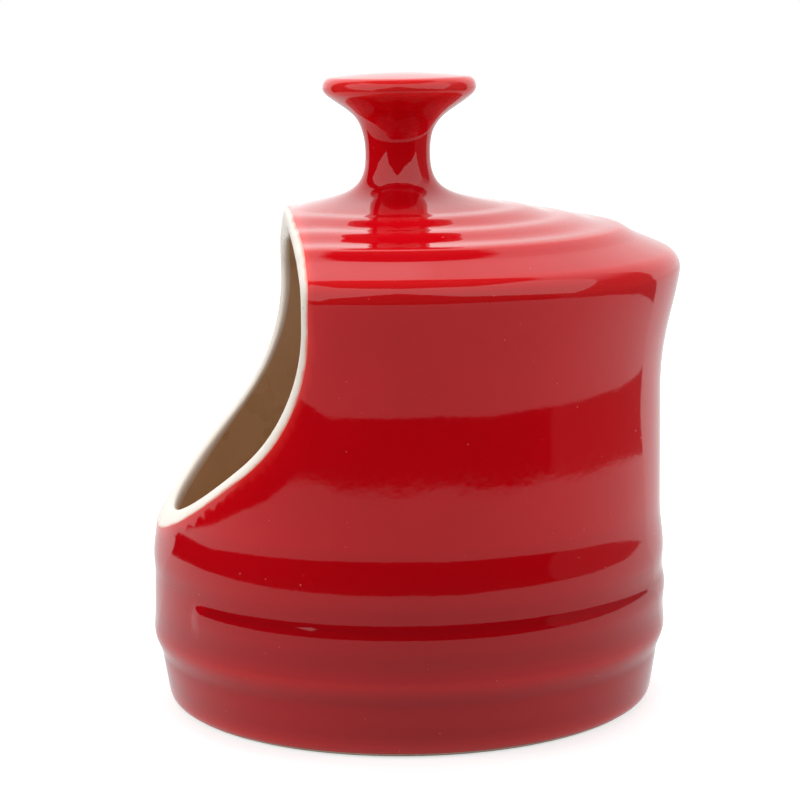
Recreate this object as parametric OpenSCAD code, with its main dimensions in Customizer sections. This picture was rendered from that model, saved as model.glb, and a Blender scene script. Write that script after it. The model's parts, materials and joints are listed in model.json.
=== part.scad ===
// Salt pig: a lidless stoneware salt pot with a hooded, scooped mouth and a knob on its roof.
// The pot stands on z = 0 and its mouth faces -Y. The origin is the middle of its footprint box.

/* [Wall] */
// Diameter of the plain wall, which the foot, the ribs and the shoulder are measured from
wall_d = 114.4; // [108:0.2:120]
// Thickness of the wall with its glazes
wall_t = 5; // [4:0.25:6]
// Thickness of the floor with its glaze
floor_t = 6.5; // [5:0.25:8]
// Radius of the cove between the floor and the wall, inside
cove_r = 8; // [5:0.5:12]

/* [Foot] */
// Set-in of the foot from the wall, at the table and before its edge is rounded
foot_set_in = 2.5; // [1.8:0.1:3.4]
// Widening of the foot's side, from the table to just under the lowest rib
foot_flare = 1.7; // [1:0.1:2.2]
// Height of the plain foot
foot_h = 10.6; // [9:0.2:12]
// Radius of the foot's rounded lower edge
foot_round = 3; // [2:0.25:4]
// Width of the bare ring that the pot stands on
foot_ring_w = 6; // [4:0.5:9]
// Depth of the hollow inside the foot ring
recess_depth = 1.6; // [1:0.1:2.5]

/* [Ribs] */
// Height of the lowest crest
rib_z = 16.8; // [15.4:0.2:18]
// Distance from one rib's crest to the next
rib_pitch = 8.8; // [8:0.2:9.4]
// Height of the lowest crest over the wall
low_rib_out = 0.95; // [0.8:0.05:1.3]
// Height of the middle crest over the wall
mid_rib_out = 1.1; // [0.9:0.05:1.4]
// Height of the highest crest over the wall
top_rib_out = 0.75; // [0.7:0.05:1.2]
// Height of the grooves between the ribs over the wall
groove_out = 0.55; // [0.3:0.05:0.65]
// Height over which the highest rib fades into the wall
rib_fade_h = 9.7; // [6:0.1:12]
// Angle left smooth in the middle rib, under the mouth
smooth_angle = 69; // [40:1:90]

/* [Shoulder and roof] */
// Overhang of the shoulder's widest line beyond the wall
shoulder_out = 4.2; // [3.4:0.1:5.2]
// Height of the widest line
shoulder_z = 99.8; // [96:0.2:104]
// Height over which the wall flares out to the shoulder
flare_h = 29.8; // [24:0.2:34]
// Radius of the shoulder's edge
shoulder_round = 2.2; // [1.4:0.2:3]
// Slope of the roof's outer band, in degrees
brim_slope = 22.4; // [18:0.2:26]
// Slope of the roof's ridged middle, in degrees
roof_slope = 11.2; // [8:0.2:14]
// Width of the outer band, from the shoulder's widest line to the outermost ridge
brim_w = 15.9; // [14:0.1:18]
// Distance from the neck's root to the innermost ridge
ridge_gap = 5.9; // [5.5:0.1:7]
// Height of the ridges
ridge_h = 0.5; // [0.2:0.05:0.7]

/* [Knob] */
// Height of the knob's top over the shoulder's widest line
knob_rise = 40.2; // [37:0.2:44]
// Diameter of the neck
neck_d = 14.7; // [13:0.1:17]
// Height of the neck's narrowest place under the knob's top
neck_drop = 17.5; // [16:0.25:19]
// Diameter of the knob's disc
disc_d = 34.3; // [30:0.1:38]
// Radius of the disc's edge
disc_round = 2; // [1.4:0.1:2.6]
// Rise of the disc's domed top
dome_h = 0.45; // [0.2:0.05:1]
// Radius on the roof where the neck's root begins
root_r = 20; // [18:0.25:21]

/* [Mouth] */
// Distance of the mouth's upright edge in front of the axis
mouth_y = 25.9; // [22:0.2:30]
// Radius of the scoop between the upright edge and the sloping one
scoop_r = 44; // [34:1:52]
// Slope of the lower edge from the upright, in degrees
scoop_slope = 45; // [40:1:50]
// Height at which the mouth's lower edge leaves the front wall
mouth_z = 41.4; // [40:0.2:48]
// Height of the rounded lip over the wall's cut edge
lip_h = 1.8; // [1:0.1:2.4]

/* [Glaze] */
// Thickness of the coloured coat outside
coat_t = 0.4; // [0.3:0.05:0.6]
// Thickness of the cream lining inside
lining_t = 0.4; // [0.3:0.05:0.6]
// Height of the coat's lower edge over the table
glaze_z = 1; // [0.6:0.1:1.8]
// Bare margin between the foot ring and the glaze under the base
base_margin = 1.5; // [1:0.25:3]

/* [Knob joint] */
// Diameter of the stub under the knob
stub_d = 9; // [7:0.25:10]
// Depth of the roof's socket for the stub
socket_depth = 1.6; // [1:0.1:2]
// Thickness of the slip that lutes the knob to the roof
slip_t = 0.4; // [0.3:0.05:0.6]
// Radius of the pad on the roof that the slip covers
pad_r = 14; // [12.5:0.25:16]
// Depth of that pad under the glazed roof
pad_depth = 1; // [0.8:0.1:1.4]
// Height of the slip's collar over the pad
collar_h = 5; // [4:0.25:5.5]

/* [Hidden] */

// Steps along curved outlines, around the lip and across it
curve_steps = 10;
scoop_steps = 16;
ridge_steps = 36;
lip_stations = 120;
lip_steps = 9;
halvings = 24;
turn_fn = 180;

// Clear run of a cut past the surfaces that it opens
overrun = 5;

wall_r = wall_d / 2;
foot_r = wall_r - foot_set_in;
foot_top_r = foot_r + foot_flare;
groove_r = wall_r + groove_out;
low_rib_r = wall_r + low_rib_out;
mid_rib_r = wall_r + mid_rib_out;
top_rib_r = wall_r + top_rib_out;
mid_rib_z = rib_z + rib_pitch;
top_rib_z = mid_rib_z + rib_pitch;
low_groove_z = rib_z + rib_pitch / 2;
top_groove_z = mid_rib_z + rib_pitch / 2;
shoulder_r = wall_r + shoulder_out;
flare_z = shoulder_z - flare_h;
top_z = shoulder_z + knob_rise;
neck_r = neck_d / 2;
neck_z = top_z - neck_drop;
disc_r = disc_d / 2;

// The shoulder reaches further back than the ribs reach forward: this centres the footprint box
front_r = max(low_rib_r, top_rib_r);
axis_y = (front_r - shoulder_r) / 2;

// The middle rib is a round bead from groove to groove
bead_h = mid_rib_out - groove_out;
bead_r = (pow(rib_pitch / 2, 2) + pow(bead_h, 2)) / (2 * bead_h);

right_angle = 90;
half_turn = 180;
full_turn = 360;

// Handle lengths of the free curves, as shares of the heights and radii that they span
flare_shares = [0.47, 0.3];
root_shares = [0.59, 0.71];
bell_shares = [0.5, 0.6];

function lerp(a, b, t) = a + (b - a) * t;

function arc_points(centre, r, from, to) =
    [for (i = [0 : curve_steps - 1]) centre + r * [cos(lerp(from, to, i / curve_steps)),
                                                   sin(lerp(from, to, i / curve_steps))]];

function curve_points(a, b, c, d) =
    [for (i = [0 : curve_steps - 1])
        let (t = i / curve_steps, u = 1 - t)
        u * u * u * a + 3 * u * u * t * b + 3 * u * t * t * c + t * t * t * d];

// An S-shaped flank between two points, level with the axis at both ends
function flank_points(a, b) =
    [for (i = [0 : curve_steps - 1])
        let (t = i / curve_steps)
        [lerp(a[0], b[0], (1 - cos(half_turn * t)) / 2), lerp(a[1], b[1], t)]];

// Foot: a tapered side over a rounded edge
foot_taper = atan((foot_top_r - foot_r) / foot_h);
foot_centre = [foot_r + foot_round * tan(foot_taper) - foot_round / cos(foot_taper), foot_round];
foot_points = arc_points(foot_centre, foot_round, -right_angle, -foot_taper);

// Ribs: the lowest and the highest go all the way round, with a smooth band between them
rib_points = concat(
    flank_points([foot_top_r, foot_h], [low_rib_r, rib_z]),
    flank_points([low_rib_r, rib_z], [groove_r, low_groove_z]),
    [[groove_r, low_groove_z]],
    flank_points([groove_r, top_groove_z], [top_rib_r, top_rib_z]),
    flank_points([top_rib_r, top_rib_z], [wall_r, top_rib_z + rib_fade_h]));

// Wall and shoulder: upright, then flaring out, then rounded over to the roof's slope
flare_points = curve_points(
    [wall_r, flare_z],
    [wall_r, flare_z + flare_shares[0] * flare_h],
    [shoulder_r, shoulder_z - flare_shares[1] * flare_h]
        - [flare_shares[1] * (shoulder_r - wall_r), 0],
    [shoulder_r, shoulder_z]);
shoulder_centre = [shoulder_r - shoulder_round, shoulder_z];
shoulder_points = arc_points(shoulder_centre, shoulder_round, 0, right_angle - brim_slope);

// Roof: a steeper brim up to the outer ridge, then a flatter middle with round ridges
brim_r = shoulder_centre[0] + shoulder_round * sin(brim_slope);
brim_z = shoulder_centre[1] + shoulder_round * cos(brim_slope);
knee_r = shoulder_r - brim_w;
ridge_r = root_r + ridge_gap;
ridge_pitch = (knee_r - ridge_r) / 2;
knee_z = brim_z + (brim_r - knee_r) * tan(brim_slope);

function roof_z(r) = knee_z + (knee_r - r) * tan(r > knee_r ? brim_slope : roof_slope);

function ridge_z(r) =
    abs(r - ridge_r - ridge_pitch) > 1.5 * ridge_pitch
        ? 0
        : ridge_h * (1 + cos(full_turn * (r - ridge_r) / ridge_pitch)) / 2;

ridged_from_r = knee_r + ridge_pitch / 2;
roof_points = [for (i = [0 : ridge_steps - 1])
    let (r = lerp(ridged_from_r, root_r, i / ridge_steps))
    [r, roof_z(r) + ridge_z(r)]];

// Neck and disc: a hollow root, a narrow neck, a bell under the disc, and a domed top
root_z = roof_z(root_r);
root_points = curve_points(
    [root_r, root_z],
    [lerp(root_r, neck_r, root_shares[0]),
     root_z + root_shares[0] * (root_r - neck_r) * tan(roof_slope)],
    [neck_r, lerp(neck_z, root_z, root_shares[1])],
    [neck_r, neck_z]);
disc_centre = [disc_r - disc_round, top_z - dome_h - disc_round];
under_angle = 55;
under = disc_centre + disc_round * [cos(under_angle), -sin(under_angle)];
bell_points = curve_points(
    [neck_r, neck_z],
    [neck_r, lerp(neck_z, under[1], bell_shares[0])],
    under - bell_shares[1] * (under[0] - neck_r) * [1, tan(right_angle - under_angle)],
    under);
disc_points = arc_points(disc_centre, disc_round, -under_angle, right_angle);
dome_points = [for (i = [0 : curve_steps])
    let (t = i / curve_steps)
    [disc_centre[0] * (1 - t), top_z - dome_h * (1 - t) * (1 - t)]];

// The finished outline runs from the foot to the middle of the knob's top
outline = concat(foot_points, [foot_centre + foot_round * [cos(foot_taper), -sin(foot_taper)]],
                 rib_points, flare_points, shoulder_points, roof_points, root_points,
                 bell_points, disc_points, dome_points);

function away(p, q) = (q - p) / norm(q - p);

function outward(points, i) =
    let (along = away(points[max(i - 1, 0)], points[min(i + 1, len(points) - 1)]))
    [along[1], -along[0]];

// The outline moved in by a coat's thickness, with the foot's edge still standing on the table
function moved_in(points, t) =
    [for (i = [0 : len(points) - 1])
        let (p = points[i], n = outward(points, i))
        [max(0, p[0] - t * n[0]), p[1] - t * (p[1] < foot_round || i == 0 ? 0 : n[1])]];

module outline_2d(t) {
    polygon(concat([[0, 0]], moved_in(outline, t), [[0, top_z - t]]));
}

// Cavity: a flat floor, a cove, the wall's inside, and the underside of the roof
ceiling_r = 12; // Radius of the flat ceiling under the knob
inner_round = 5; // Radius of the cavity's upper corner

function cavity_points(t) =
    let (
        wall_in = wall_r - wall_t + t,
        shoulder_in = shoulder_r - wall_t + t,
        floor_z = floor_t - t,
        drop = (wall_t - t) / cos(brim_slope),
        roof_drop = (wall_t - t) / cos(roof_slope),
        corner_r = shoulder_in - inner_round,
        corner_z = roof_z(corner_r + inner_round * sin(brim_slope)) - drop
            - inner_round * cos(brim_slope))
    concat(
        [[0, floor_z]],
        arc_points([wall_in - cove_r, floor_z + cove_r], cove_r, -right_angle, 0),
        curve_points(
            [wall_in, flare_z],
            [wall_in, flare_z + flare_shares[0] * (corner_z - flare_z)],
            [shoulder_in - flare_shares[1] * (shoulder_in - wall_in),
             corner_z - flare_shares[1] * (corner_z - flare_z)],
            [shoulder_in, corner_z]),
        arc_points([corner_r, corner_z], inner_round, 0, right_angle - brim_slope),
        [[knee_r, roof_z(knee_r) - drop],
         [ceiling_r, roof_z(ceiling_r) - roof_drop],
         [0, roof_z(ceiling_r) - roof_drop]]);

module cavity_2d(t) {
    polygon(cavity_points(t));
}

// Knob joint: a pad and a socket in the roof, filled with slip round the knob's stub
pad_z = roof_z(pad_r) - coat_t - pad_depth;
collar_z = pad_z + collar_h;
core_r = neck_r - coat_t;
socket_r = stub_d / 2 + slip_t;
socket_z = pad_z - socket_depth;

module box_2d(r, from, to) {
    translate([0, from]) square([r, to - from]);
}

module void_2d() {
    cavity_2d(lining_t);
    seat_2d();
    recess_2d();
}

module coat_2d() {
    difference() {
        outline_2d(0);
        outline_2d(coat_t);
        box_2d(shoulder_r + overrun, -overrun, glaze_z);
    }
}

module seat_2d() {
    box_2d(shoulder_r, collar_z, top_z + overrun);
    box_2d(pad_r, pad_z, top_z + overrun);
    box_2d(socket_r, socket_z, pad_z + overrun);
}

module knob_2d() {
    intersection() {
        outline_2d(coat_t);
        box_2d(shoulder_r, collar_z, top_z + overrun);
    }
    box_2d(core_r, pad_z + slip_t, collar_z);
    box_2d(stub_d / 2, socket_z + slip_t, pad_z + slip_t);
}

module slip_2d() {
    difference() {
        union() {
            intersection() {
                outline_2d(coat_t);
                box_2d(pad_r, pad_z, collar_z);
            }
            box_2d(socket_r, socket_z, pad_z);
        }
        knob_2d();
    }
}

// Base: the hollow inside the foot ring, with a sloping side
recess_r = foot_centre[0] - foot_ring_w;

module recess_2d() {
    polygon([[0, -overrun], [recess_r, -overrun], [recess_r, 0],
             [recess_r - recess_depth, recess_depth], [0, recess_depth]]);
}

// Mouth: the space cut from the front, seen from the side, with its edge set back by t
scoop_y = -mouth_y - scoop_r;
sloped_run = (wall_r - mouth_y - scoop_r * (1 - cos(scoop_slope))) / sin(scoop_slope);
scoop_z = mouth_z + scoop_r * sin(scoop_slope) + sloped_run * cos(scoop_slope);
cut_front = 2 * shoulder_r;

function scoop_point(t, angle) = [scoop_y, scoop_z] + (scoop_r + t) * [cos(angle), -sin(angle)];

function slope_point(t, run) =
    scoop_point(t, scoop_slope) - run * [sin(scoop_slope), cos(scoop_slope)];

module mouth_2d(t) {
    polygon(concat(
        [[-cut_front, top_z], [-mouth_y + t, top_z]],
        [for (i = [0 : scoop_steps]) scoop_point(t, scoop_slope * i / scoop_steps)],
        [slope_point(t, cut_front)]));
}

module mouth_cut(t) {
    rotate([right_angle, 0, right_angle])
        linear_extrude(height = 2 * (shoulder_r + overrun), center = true) mouth_2d(t);
}

module turned() {
    rotate_extrude($fn = turn_fn) children();
}

module placed() {
    translate([0, axis_y, 0]) children();
}

// The middle rib stops short of the front, and its place there stays smooth.
// It is a bead moved in by t on all sides, on a root that lies sunk under the band.
module middle_rib(t, sunk) {
    set_back = t / mid_rib_r * half_turn / PI;
    rotate([0, 0, smooth_angle / 2 + set_back - right_angle])
        rotate_extrude(angle = full_turn - smooth_angle - 2 * set_back, $fn = turn_fn)
            intersection() {
                translate([mid_rib_r - bead_r, mid_rib_z]) circle(r = bead_r - t, $fn = turn_fn);
                translate([groove_r - sunk, rib_z]) square([rib_pitch, 2 * rib_pitch]);
            }
}

module body() {
    color([0.80, 0.68, 0.55])
    placed()
    difference() {
        union() {
            turned() outline_2d(coat_t);
            middle_rib(coat_t, 2 * coat_t);
        }
        turned() void_2d();
        mouth_cut(lip_h);
    }
}

module knob() {
    color([0.84, 0.72, 0.58])
    placed()
    turned() knob_2d();
}

module joint_slip() {
    color([0.72, 0.62, 0.52])
    placed()
    turned() slip_2d();
}

module outer_glaze() {
    color([0.70, 0.02, 0.06])
    placed()
    difference() {
        union() {
            turned() coat_2d();
            middle_rib(0, 0.75 * coat_t);
        }
        middle_rib(coat_t, 2 * coat_t);
        mouth_cut(lip_h);
    }
}

module inner_glaze() {
    color([0.77, 0.66, 0.53])
    placed()
    difference() {
        turned()
            difference() {
                cavity_2d(lining_t);
                cavity_2d(0);
            }
        mouth_cut(lip_h);
    }
}

// Lip: a rounded rim whose edges follow the wall's two faces round the cut.
// A place on the cut is [x, s]: x across the mouth, and s along the cut's side view, upwards
// from the scoop's upper end.
scoop_run = (scoop_r + lip_h) * scoop_slope * PI / half_turn;

function cut_angle(s) = s > 0 ? 0 : s < -scoop_run ? scoop_slope : -s / scoop_run * scoop_slope;

function cut_yz(s) =
    s > 0 ? scoop_point(lip_h, 0) + [0, s]
    : s < -scoop_run ? slope_point(lip_h, -s - scoop_run)
    : scoop_point(lip_h, cut_angle(s));

function cut_outward(s) = [0, -cos(cut_angle(s)), sin(cut_angle(s))];

outer_table = [for (p = outline) [p[1], p[0]]];
inner_table = [for (p = cavity_points(0)) if (p[0] > 0) [p[1], p[0]]];

function is_inside(table, xs) =
    let (yz = cut_yz(xs[1]))
    yz[1] <= table[len(table) - 1][0]
        && yz[1] >= table[0][0]
        && norm([xs[0], yz[0]]) < lookup(yz[1], table);

// Distance from the mouth's middle to the table's face, towards one direction on the cut
function reach(table, dir, near, far, left) =
    let (mid = (near + far) / 2)
    left == 0 ? mid
    : is_inside(table, mouth_middle + mid * dir)
        ? reach(table, dir, mid, far, left - 1)
        : reach(table, dir, near, mid, left - 1);

mouth_middle = [0, -(scoop_run + sloped_run - (shoulder_z - scoop_z)) / 2];

function edge_xs(table, dir) = mouth_middle + reach(table, dir, 0, cut_front, halvings) * dir;

function cut_point(xs) = let (yz = cut_yz(xs[1])) [xs[0], yz[0], yz[1]];

function lip_section(dir) =
    let (a = edge_xs(outer_table, dir), b = edge_xs(inner_table, dir))
    [for (j = [0 : lip_steps])
        let (angle = half_turn * j / lip_steps, xs = lerp(a, b, (1 - cos(angle)) / 2))
        lerp(cut_point(a), cut_point(b), (1 - cos(angle)) / 2)
            + lip_h * sin(angle) * cut_outward(xs[1])];

module lip() {
    around = [for (i = [0 : lip_stations - 1])
        let (angle = full_turn * i / lip_stations) [sin(angle), cos(angle)]];
    points = [for (dir = around) for (p = lip_section(dir)) p];
    row = lip_steps + 1;
    function at(i, j) = (i % lip_stations) * row + j % row;
    faces = [for (i = [0 : lip_stations - 1]) for (j = [0 : row - 1])
        for (side = [0, 1])
            side == 0
                ? [at(i, j), at(i + 1, j), at(i + 1, j + 1)]
                : [at(i, j), at(i + 1, j + 1), at(i, j + 1)]];
    color([0.95, 0.91, 0.82])
    placed()
    polyhedron(points = points, faces = faces);
}

module base_glaze() {
    color([0.62, 0.03, 0.06])
    placed()
    translate([0, 0, recess_depth - coat_t])
        cylinder(r = recess_r - recess_depth - base_margin, h = coat_t, $fn = turn_fn);
}

body();
knob();
joint_slip();
outer_glaze();
inner_glaze();
lip();
base_glaze();
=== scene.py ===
"""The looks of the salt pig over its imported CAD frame: glazes, rounded lip, bare foot, studio and camera.

Sizes are in millimetres and angles in degrees, in the part's frame: z up from the table, the mouth
faces -Y, and the pot's axis stands at y = AXIS_Y. They become metres when a mesh is made.
The pot is a turned outline, so a place on it is a turn (radians, from +X to +Y) and a length s along
the outline. The mouth is one straight cut across it, seen from the side as a line, a round and a slope.
"""

import json
import math

import bmesh
import bpy
import numpy as np
from mathutils import Matrix, Vector

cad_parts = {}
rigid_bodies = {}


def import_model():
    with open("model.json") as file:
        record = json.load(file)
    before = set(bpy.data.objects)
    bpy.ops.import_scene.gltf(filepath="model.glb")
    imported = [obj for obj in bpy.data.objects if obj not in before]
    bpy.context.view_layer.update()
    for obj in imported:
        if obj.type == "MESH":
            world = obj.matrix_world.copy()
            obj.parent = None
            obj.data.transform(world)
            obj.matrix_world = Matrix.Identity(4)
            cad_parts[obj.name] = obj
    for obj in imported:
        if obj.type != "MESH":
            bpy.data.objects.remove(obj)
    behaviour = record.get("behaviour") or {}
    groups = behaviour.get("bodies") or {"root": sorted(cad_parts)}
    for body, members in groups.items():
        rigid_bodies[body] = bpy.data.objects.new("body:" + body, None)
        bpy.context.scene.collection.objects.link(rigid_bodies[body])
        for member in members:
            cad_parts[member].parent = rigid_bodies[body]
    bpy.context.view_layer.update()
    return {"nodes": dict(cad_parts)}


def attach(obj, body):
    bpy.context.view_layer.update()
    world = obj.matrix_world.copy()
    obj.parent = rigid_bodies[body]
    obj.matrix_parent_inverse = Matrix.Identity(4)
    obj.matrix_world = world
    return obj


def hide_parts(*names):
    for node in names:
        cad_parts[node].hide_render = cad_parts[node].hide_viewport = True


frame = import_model()

MM = 0.001
AXIS_Y = -1.625

# Foot, ribs and wall, as in the part's source. RIBS are radius and height of crest, groove, crest...
FOOT_R, FOOT_TOP_R, FOOT_H, FOOT_ROUND = 54.7, 56.4, 10.6, 3.0
FOOT_RING, RECESS_DEPTH = 6.0, 1.6
RIBS = [(58.15, 16.8), (57.9, 20.8), (58.3, 25.8), (57.65, 30.1), (57.95, 34.3)]
LOW_GROOVE, MID_RIB, TOP_GROOVE = RIBS[1:4]
RIB_TOP_Z = 44.0
MID_RIB_GAP, MID_RIB_FADE = 34.0, 4.3  # half the gap's angle at the front, and length of each end
WALL_R, WALL_T, FLOOR_T, COVE_R = 57.2, 5.0, 6.5, 8.0

# Shoulder, roof and knob, nearer to the photograph than the part is
SHOULDER_R, SHOULDER_Z, FLARE_H, SHOULDER_ROUND = 61.5, 97.2, 27.3, 4.7
FLARE_LOW, FLARE_HIGH, FLARE_OUT = 0.53, 0.32, 0.28  # the flare's curve, in shares of its size
BRIM_SLOPE, ROOF_SLOPE = 23.2, 11.8
STEP_R, STEP_W, STEP_H = 51.9, 3.2, 1.64
RIDGE_R, RIDGE_PITCH, RIDGE_H = 27.9, 10.0, 0.41
TOP_Z, NECK_R, NECK_Z, ROOT_R = 140.8, 7.2, 122.85, 20.7
ROOT_OUT, ROOT_UP, NECK_UP, DISC_IN = 0.7, 0.75, 0.68, 0.515  # the knob's curves, in shares
DISC_R, DISC_ROUND, DOME_H, DISC_UNDER = 17.1, 2.25, 0.94, 50.0
KNOB_LEANS = [(105, 9, 1.2), (127, 7, -0.62), (134, 3, 0.1)]  # from a height, over a height, by

# Cavity, mouth and coats
CORNER_ROUND, CEILING_R = 5.0, 12.0
FLARE_IN_LOW, FLARE_IN_HIGH = 0.47, 0.36
MOUTH_Y, SCOOP_R, SCOOP_SLOPE, MOUTH_Z, LIP_ROUND = 25.9, 44.0, 45.0, 41.4, 1.8
MOUTH_TOP_Z, SLOPE_LENGTH = 108.0, 26.0  # about where the cut leaves the roof and the wall
TUCK, TUCK_WIDE = 0.34, 6.0  # how far the outside draws in towards the lip
TUCK_TURN_Z, TUCK_TURN_H = 105.0, 4.0  # over this height the tuck turns from inwards to downwards
GLAZE_Z, COAT, CLAY_IN = 1.0, 0.36, 0.4

# Where the red glaze runs thin, and where painted shade darkens it, in hollows (where the glaze also pools)
# and beside the middle rib: shares, factors on the outline's bend, and mm
THIN_EDGE, THIN_BEND = 0.6, 2.2
THIN_FOOT_Z, THIN_FOOT_H, THIN_RIM_W = 4.0, 3.0, 1.6
RED_ON_RIM = 1 / 3  # share of the way over the rim that the red runs
POOL_AND_SHADE_HOLLOW, POOL_AND_SHADE_BEND, POOL_AND_SHADE_TOP_Z, POOL_AND_SHADE_FADE_H = 0.3, 3.0, 60.0, 10.0
SHADE_UNDER_RIB, SHADE_UNDER_H = 0.55, 2.3
SHADE_OVER_RIB, SHADE_OVER_H, SHADE_OVER_UP, SHADE_END_W = 0.9, 1.6, 2.5, 4.0

# Fineness of the meshes
SAMPLE = 0.1  # step along an outline
BEND_PER_ROW = 4.0
TURNS = 240
STATIONS = 480  # round the mouth's edge
EDGE_BAND = 0.7  # width of the strip between a face's own rows and the lip's edge
RIM_STEPS = 16


def rad(a):
    return math.radians(a)


def lerp(a, b, t):
    return a + (b - a) * t


def smoothstep(x):
    x = np.clip(x, 0.0, 1.0)
    return x * x * (3 - 2 * x)


def bell(x, wide):
    return np.exp(-((x / wide) ** 2))


# Outlines


def arc(centre, r, a0, a1, n=24):
    a = np.radians(np.linspace(a0, a1, n, endpoint=False))
    return np.stack([centre[0] + r * np.cos(a), centre[1] + r * np.sin(a)], 1)


def bezier(a, b, c, d, n=60):
    t = np.linspace(0, 1, n, endpoint=False)[:, None]
    a, b, c, d = (np.array(p, float) for p in (a, b, c, d))
    return (1 - t) ** 3 * a + 3 * (1 - t) ** 2 * t * b + 3 * (1 - t) * t**2 * c + t**3 * d


def flank(a, b, n=24):
    """A soft rise from a to b, upright at both ends."""
    t = np.linspace(0, 1, n, endpoint=False)
    return np.stack([lerp(a[0], b[0], (1 - np.cos(np.pi * t)) / 2), lerp(a[1], b[1], t)], 1)


def line(a, b, n):
    return np.linspace(a, b, n, endpoint=False)


foot_taper = math.degrees(math.atan2(FOOT_TOP_R - FOOT_R, FOOT_H))
foot_centre = (
    FOOT_R + FOOT_ROUND * math.tan(rad(foot_taper)) - FOOT_ROUND / math.cos(rad(foot_taper)),
    FOOT_ROUND,
)
shoulder_centre = (SHOULDER_R - SHOULDER_ROUND, SHOULDER_Z)
brim_r = shoulder_centre[0] + SHOULDER_ROUND * math.sin(rad(BRIM_SLOPE))
brim_z = shoulder_centre[1] + SHOULDER_ROUND * math.cos(rad(BRIM_SLOPE))
step_r = STEP_R - STEP_W
step_z = brim_z + (brim_r - STEP_R) * math.tan(rad(BRIM_SLOPE))


def roof_z(r):
    """The roof without its ridges: a raised cone inside a small step, and the brim round it."""
    if r > STEP_R:
        return brim_z + (brim_r - r) * math.tan(rad(BRIM_SLOPE))
    return step_z + STEP_H + (step_r - r) * math.tan(rad(ROOF_SLOPE))


def ridge_z(r):
    """The rise of the roof's ridges, none inside the first groove."""
    if r < RIDGE_R - RIDGE_PITCH / 2:
        return 0.0
    return RIDGE_H * (1 + math.cos(2 * math.pi * (r - RIDGE_R) / RIDGE_PITCH)) / 2


def outline_points():
    """The outside as drawn, from the table up to the knob's crown, without the middle rib."""
    disc_centre = np.array([DISC_R - DISC_ROUND, TOP_Z - DOME_H - DISC_ROUND])
    under = disc_centre + DISC_ROUND * np.array([math.cos(rad(DISC_UNDER)), -math.sin(rad(DISC_UNDER))])
    under_slope = np.array([1, math.tan(rad(90 - DISC_UNDER))])
    root_z = roof_z(ROOT_R)
    root_rise = ROOT_OUT * (ROOT_R - NECK_R) * math.tan(rad(ROOF_SLOPE))
    step_top_z = roof_z(step_r) + ridge_z(step_r)
    dome = np.linspace(0, 1, 40)
    return np.concatenate([
        arc(foot_centre, FOOT_ROUND, -90, -foot_taper),
        flank((FOOT_TOP_R, FOOT_H), RIBS[0]),
        flank(RIBS[0], LOW_GROOVE),
        line(LOW_GROOVE, TOP_GROOVE, 40),
        flank(TOP_GROOVE, RIBS[4]),
        flank(RIBS[4], (WALL_R, RIB_TOP_Z)),
        bezier((WALL_R, SHOULDER_Z - FLARE_H), (WALL_R, SHOULDER_Z - FLARE_LOW * FLARE_H),
               (SHOULDER_R - FLARE_OUT * (SHOULDER_R - WALL_R), SHOULDER_Z - FLARE_HIGH * FLARE_H),
               (SHOULDER_R, SHOULDER_Z)),
        arc(shoulder_centre, SHOULDER_ROUND, 0, 90 - BRIM_SLOPE),
        line((brim_r, brim_z), (STEP_R, step_z), 20),
        line((STEP_R, step_z), (step_r, step_top_z), 24),
        np.array([[r, roof_z(r) + ridge_z(r)] for r in line(step_r, ROOT_R, 160)]),
        bezier((ROOT_R, root_z), (lerp(ROOT_R, NECK_R, ROOT_OUT), root_z + root_rise),
               (NECK_R, lerp(NECK_Z, root_z, ROOT_UP)), (NECK_R, NECK_Z)),
        bezier((NECK_R, NECK_Z), (NECK_R, lerp(NECK_Z, under[1], NECK_UP)),
               under - DISC_IN * (under[0] - NECK_R) * under_slope, under),
        arc(disc_centre, DISC_ROUND, -DISC_UNDER, 90),
        np.stack([disc_centre[0] * (1 - dome), TOP_Z - DOME_H * (1 - dome) ** 2], 1),
    ])


def cavity_points():
    """The inside as drawn, from the middle of the floor up to the middle of the ceiling."""
    wall_in, shoulder_in = WALL_R - WALL_T, SHOULDER_R - WALL_T
    drop, roof_drop = WALL_T / math.cos(rad(BRIM_SLOPE)), WALL_T / math.cos(rad(ROOF_SLOPE))
    corner_r = shoulder_in - CORNER_ROUND
    corner_z = (roof_z(corner_r + CORNER_ROUND * math.sin(rad(BRIM_SLOPE))) - drop
                - CORNER_ROUND * math.cos(rad(BRIM_SLOPE)))
    flare_z = SHOULDER_Z - FLARE_H
    flare_end_z = corner_z - FLARE_IN_HIGH * (corner_z - flare_z)
    ceiling_z = roof_z(CEILING_R) - roof_drop
    return np.concatenate([
        [[0, FLOOR_T]],
        arc((wall_in - COVE_R, FLOOR_T + COVE_R), COVE_R, -90, 0),
        bezier((wall_in, flare_z), (wall_in, flare_z + FLARE_IN_LOW * (corner_z - flare_z)),
               (shoulder_in - FLARE_IN_HIGH * (shoulder_in - wall_in), flare_end_z),
               (shoulder_in, corner_z)),
        arc((corner_r, corner_z), CORNER_ROUND, 0, 90 - BRIM_SLOPE),
        [[STEP_R, step_z - drop], [CEILING_R, ceiling_z], [0, ceiling_z]],
    ])


def base_points():
    """The underside as drawn: a shallow hollow inside the foot ring."""
    ring_in = foot_centre[0] - FOOT_RING
    return [[0, RECESS_DEPTH], [ring_in - RECESS_DEPTH, RECESS_DEPTH], [ring_in, 0], [foot_centre[0] - 1, 0]]


def moved(points, gap):
    """An outline moved by a gap to its right-hand side, which keeps its height near the table."""
    along = np.gradient(points, axis=0)
    along /= np.maximum(np.linalg.norm(along, axis=1), 1e-9)[:, None]
    level = points[:, 1] < FOOT_ROUND
    shift = np.stack([along[:, 1], np.where(level, 0, -along[:, 0])], 1)
    return points + gap * shift


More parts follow.
